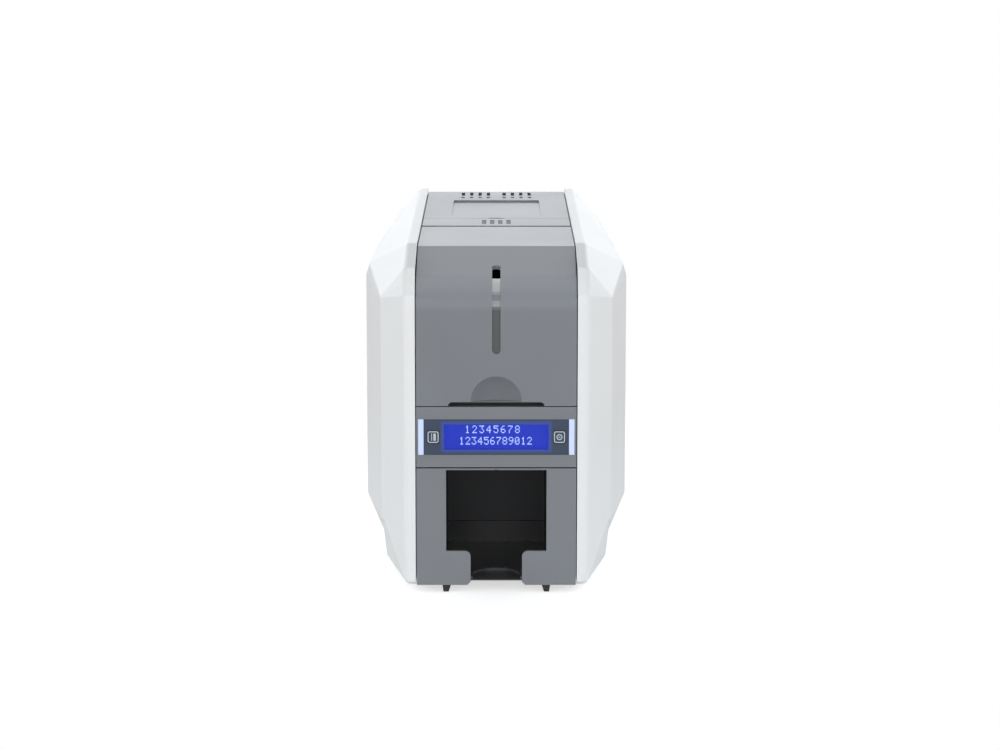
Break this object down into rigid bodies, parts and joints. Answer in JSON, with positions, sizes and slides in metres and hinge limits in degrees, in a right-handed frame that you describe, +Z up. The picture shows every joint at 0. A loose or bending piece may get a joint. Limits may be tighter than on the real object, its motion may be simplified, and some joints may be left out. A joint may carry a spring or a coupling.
{
  "type": "id card printer",
  "caption": "Desktop ID card printer with a grey centre column between two white side covers, a blue display band and a black card stacker",
  "frame": {"origin": "on the resting surface, at the middle of the footprint", "axes": "+Z up; -Y is the front with the display; +X is the right side seen from the front; +Y runs back along the longest side"},
  "size_m": [0.168, 0.384, 0.208],
  "materials": {
    "white_plastic": "smooth, semi gloss",
    "grey_plastic": "fine moulded texture",
    "black_plastic": "satin",
    "clear_plastic": "clear",
    "smoked_plastic": "polished, tinted",
    "light_plastic": "translucent",
    "display_glass": "blue backlit",
    "board_green": "solder mask",
    "steel": "plain",
    "roller_rubber": "matte",
    "tacky_rubber": "tacky",
    "gear_plastic": "natural acetal",
    "bronze": "sintered",
    "ceramic": "glazed",
    "ribbon": "thin film",
    "motor_grey": "satin"
  },
  "bodies": {
    "printer": {"base_frame": "black_plastic", "left_side_plate": "steel", "right_side_plate": "steel", "left_side_cover": "white_plastic", "right_side_cover": "white_plastic", "rear_cover": "grey_plastic", "hinge_pins": "steel", "control_fascia": "grey_plastic", "panel_window": "smoked_plastic", "light_bars": "light_plastic", "lcd_bezel": "black_plastic", "lcd_glass": "display_glass", "panel_board": "board_green", "card_slot_plate": "black_plastic", "stacker_frame": "grey_plastic", "output_tray": "black_plastic", "front_feet": "roller_rubber", "rear_feet": "roller_rubber", "hopper_frame": "black_plastic", "card_guide": "black_plastic", "exit_chute": "black_plastic", "idler_studs": "steel", "shaft_bushes": "bronze", "drive_motor": "motor_grey", "ribbon_cassette": "black_plastic", "ribbon_film": "ribbon", "ribbon_motor": "motor_grey", "main_board": "board_green", "usb_socket": "steel", "network_socket": "steel", "power_inlet": "black_plastic"},
    "lid": {"top_cover": "grey_plastic", "print_head": "ceramic", "head_bracket": "steel"},
    "hopper_door": {"hopper_cover": "grey_plastic", "level_window": "clear_plastic"},
    "latch": {"latch_bar": "grey_plastic"},
    "left_button": {"left_key": "smoked_plastic"},
    "right_button": {"right_key": "smoked_plastic"},
    "weight": {"card_weight": "black_plastic"},
    "flap": {"diverter_flap": "black_plastic"},
    "pick_shaft": {"pick_roller": "roller_rubber", "pick_gear": "gear_plastic"},
    "feed_shaft": {"feed_roller": "roller_rubber", "feed_gear": "gear_plastic"},
    "platen_shaft": {"platen_roller": "roller_rubber", "platen_gear": "gear_plastic"},
    "rear_shaft": {"rear_roller": "roller_rubber", "rear_gear": "gear_plastic"},
    "front_idler": {"front_idler_gear": "gear_plastic"},
    "middle_idler": {"middle_idler_gear": "gear_plastic"},
    "rear_idler": {"rear_idler_gear": "gear_plastic"},
    "motor_rotor": {"drive_pinion": "steel"},
    "cleaner": {"cleaning_roller": "tacky_rubber"},
    "feed_pinch": {"feed_pinch_roller": "steel"},
    "rear_pinch": {"rear_pinch_roller": "steel"},
    "supply": {"supply_spool": "ribbon"},
    "takeup": {"takeup_spool": "ribbon"},
    "ribbon_rotor": {"ribbon_pinion": "steel"},
    "rocker": {"power_switch": "black_plastic"}
  },
  "joints": [
    {"name": "hopper_cover_open", "type": "hinge", "parent": "printer", "child": "hopper_door", "pos_m": [0, -0.032, 0.2], "axis": [-1, 0, 0], "range_deg": [0, 70]},
    {"name": "top_cover_open", "type": "hinge", "parent": "printer", "child": "lid", "pos_m": [0, 0.1815, 0.1995], "axis": [-1, 0, 0], "range_deg": [0, 75]},
    {"name": "latch_press", "type": "slide", "parent": "printer", "child": "latch", "axis": [0, 0, -1], "range_m": [0, 0.002], "stiffness_N_per_m": 500, "springref_m": -0.002},
    {"name": "left_key_press", "type": "slide", "parent": "printer", "child": "left_button", "axis": [0, 1, 0], "range_m": [0, 0.0006], "stiffness_N_per_m": 800, "springref_m": -0.0006},
    {"name": "right_key_press", "type": "slide", "parent": "printer", "child": "right_button", "axis": [0, 1, 0], "range_m": [0, 0.0006], "stiffness_N_per_m": 800, "springref_m": -0.0006},
    {"name": "card_weight_lift", "type": "slide", "parent": "printer", "child": "weight", "axis": [0, 0, 1], "range_m": [0, 0.055]},
    {"name": "diverter_tilt", "type": "hinge", "parent": "printer", "child": "flap", "pos_m": [0, 0.007, 0.1136], "axis": [1, 0, 0], "range_deg": [0, 12]},
    {"name": "pick_spin", "type": "hinge", "parent": "printer", "child": "pick_shaft", "pos_m": [0, -0.117, 0.1096], "axis": [1, 0, 0], "continuous": true},
    {"name": "feed_spin", "type": "hinge", "parent": "printer", "child": "feed_shaft", "pos_m": [0, -0.035, 0.1096], "axis": [1, 0, 0], "continuous": true},
    {"name": "platen_spin", "type": "hinge", "parent": "printer", "child": "platen_shaft", "pos_m": [0, 0.048, 0.1096], "axis": [1, 0, 0], "continuous": true},
    {"name": "rear_spin", "type": "hinge", "parent": "printer", "child": "rear_shaft", "pos_m": [0, 0.118, 0.1096], "axis": [1, 0, 0], "continuous": true},
    {"name": "front_idler_spin", "type": "hinge", "parent": "printer", "child": "front_idler", "pos_m": [0, -0.076, 0.1096], "axis": [1, 0, 0], "continuous": true},
    {"name": "middle_idler_spin", "type": "hinge", "parent": "printer", "child": "middle_idler", "pos_m": [0, 0.0065, 0.1096], "axis": [1, 0, 0], "continuous": true},
    {"name": "rear_idler_spin", "type": "hinge", "parent": "printer", "child": "rear_idler", "pos_m": [0, 0.083, 0.1096], "axis": [1, 0, 0], "continuous": true},
    {"name": "drive_spin", "type": "hinge", "parent": "printer", "child": "motor_rotor", "pos_m": [0, 0.0065, 0.0701], "axis": [1, 0, 0], "continuous": true},
    {"name": "cleaning_spin", "type": "hinge", "parent": "printer", "child": "cleaner", "pos_m": [0, -0.074, 0.1244], "axis": [1, 0, 0], "continuous": true},
    {"name": "feed_pinch_spin", "type": "hinge", "parent": "printer", "child": "feed_pinch", "pos_m": [0, -0.035, 0.1224], "axis": [1, 0, 0], "continuous": true},
    {"name": "rear_pinch_spin", "type": "hinge", "parent": "printer", "child": "rear_pinch", "pos_m": [0, 0.118, 0.1224], "axis": [1, 0, 0], "continuous": true},
    {"name": "supply_spin", "type": "hinge", "parent": "printer", "child": "supply", "pos_m": [0, 0.108, 0.16], "axis": [1, 0, 0], "continuous": true},
    {"name": "takeup_spin", "type": "hinge", "parent": "printer", "child": "takeup", "pos_m": [0, -0.004, 0.16], "axis": [1, 0, 0], "continuous": true},
    {"name": "ribbon_drive_spin", "type": "hinge", "parent": "printer", "child": "ribbon_rotor", "pos_m": [0, -0.024, 0.16], "axis": [1, 0, 0], "continuous": true},
    {"name": "power_switch_rock", "type": "hinge", "parent": "printer", "child": "rocker", "pos_m": [-0.02, 0.184, 0.07], "axis": [1, 0, 0], "range_deg": [-8, 8]}
  ],
  "couplings": [
    {"joint": "pick_spin", "follows": "platen_spin", "ratio": 1},
    {"joint": "feed_spin", "follows": "platen_spin", "ratio": 1},
    {"joint": "rear_spin", "follows": "platen_spin", "ratio": 1},
    {"joint": "front_idler_spin", "follows": "platen_spin", "ratio": -0.32258},
    {"joint": "middle_idler_spin", "follows": "platen_spin", "ratio": -0.31746},
    {"joint": "rear_idler_spin", "follows": "platen_spin", "ratio": -0.4},
    {"joint": "drive_spin", "follows": "platen_spin", "ratio": 1.25},
    {"joint": "ribbon_drive_spin", "follows": "takeup_spin", "ratio": -2.3333}
  ]
}
